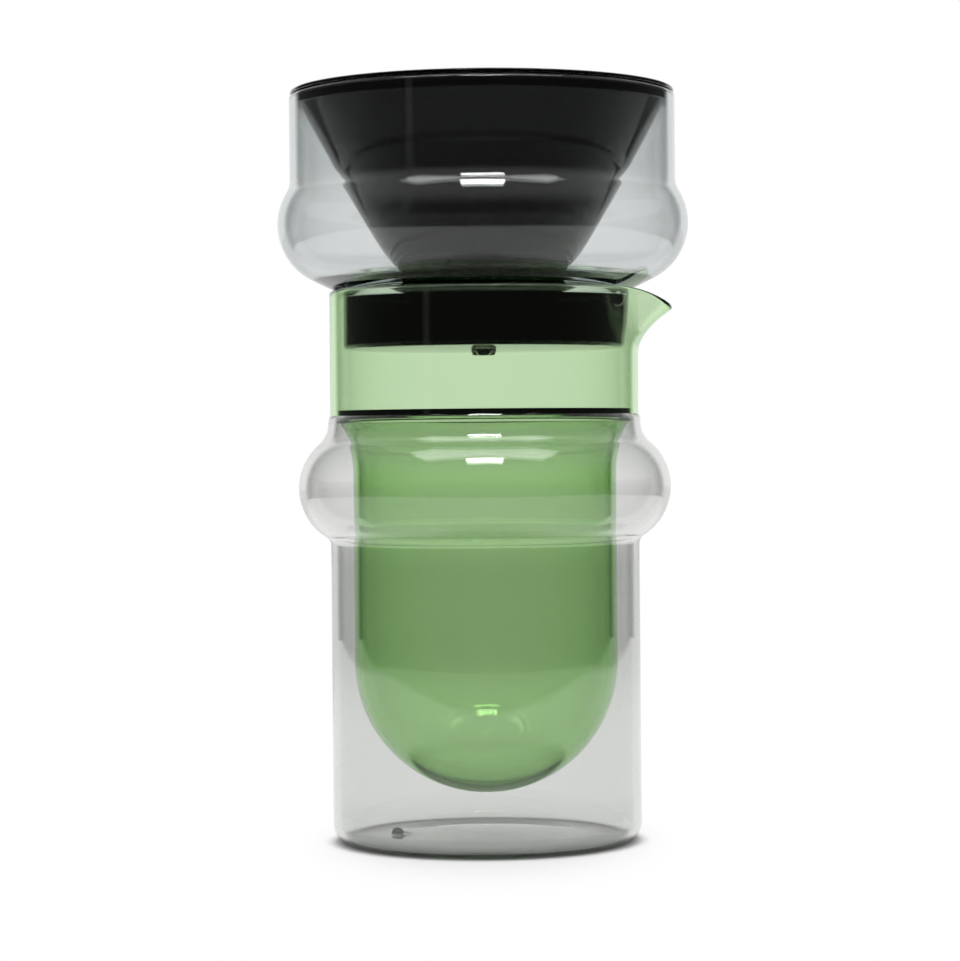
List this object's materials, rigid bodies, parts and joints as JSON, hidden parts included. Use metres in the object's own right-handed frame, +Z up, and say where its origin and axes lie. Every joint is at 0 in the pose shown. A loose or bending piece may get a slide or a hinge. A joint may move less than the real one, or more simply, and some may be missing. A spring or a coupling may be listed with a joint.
{
  "type": "pour-over coffee carafe",
  "caption": "Double-walled glass pour-over set: a bulged carafe with a tinted round-bottomed liner and pouring lip, and a lift-off dripper with a dark filter cone and foot.",
  "frame": {"origin": "on the carafe's axis, in the plane that it stands on", "axes": "+Z up along the axis, +X towards the pouring lip"},
  "size_m": [0.1244, 0.1244, 0.227],
  "materials": {
    "grey_glass": "clear light grey tint, fire polished",
    "green_glass": "clear green tint, fire polished",
    "smoke_glass": "dark smoke tint, fire polished"
  },
  "bodies": {
    "carafe": {"carafe_jacket": "grey_glass", "carafe_liner": "green_glass", "carafe_neck": "green_glass", "seam_ring": "smoke_glass", "vent_seal": "grey_glass"},
    "dripper": {"dripper_jacket": "grey_glass", "filter_cone": "smoke_glass", "dripper_foot": "smoke_glass", "drip_tip": "smoke_glass"}
  },
  "joints": [
    {"name": "dripper_lift", "type": "slide", "parent": "carafe", "child": "dripper", "axis": [0, 0, 1], "range_m": [0, 0.08]}
  ]
}
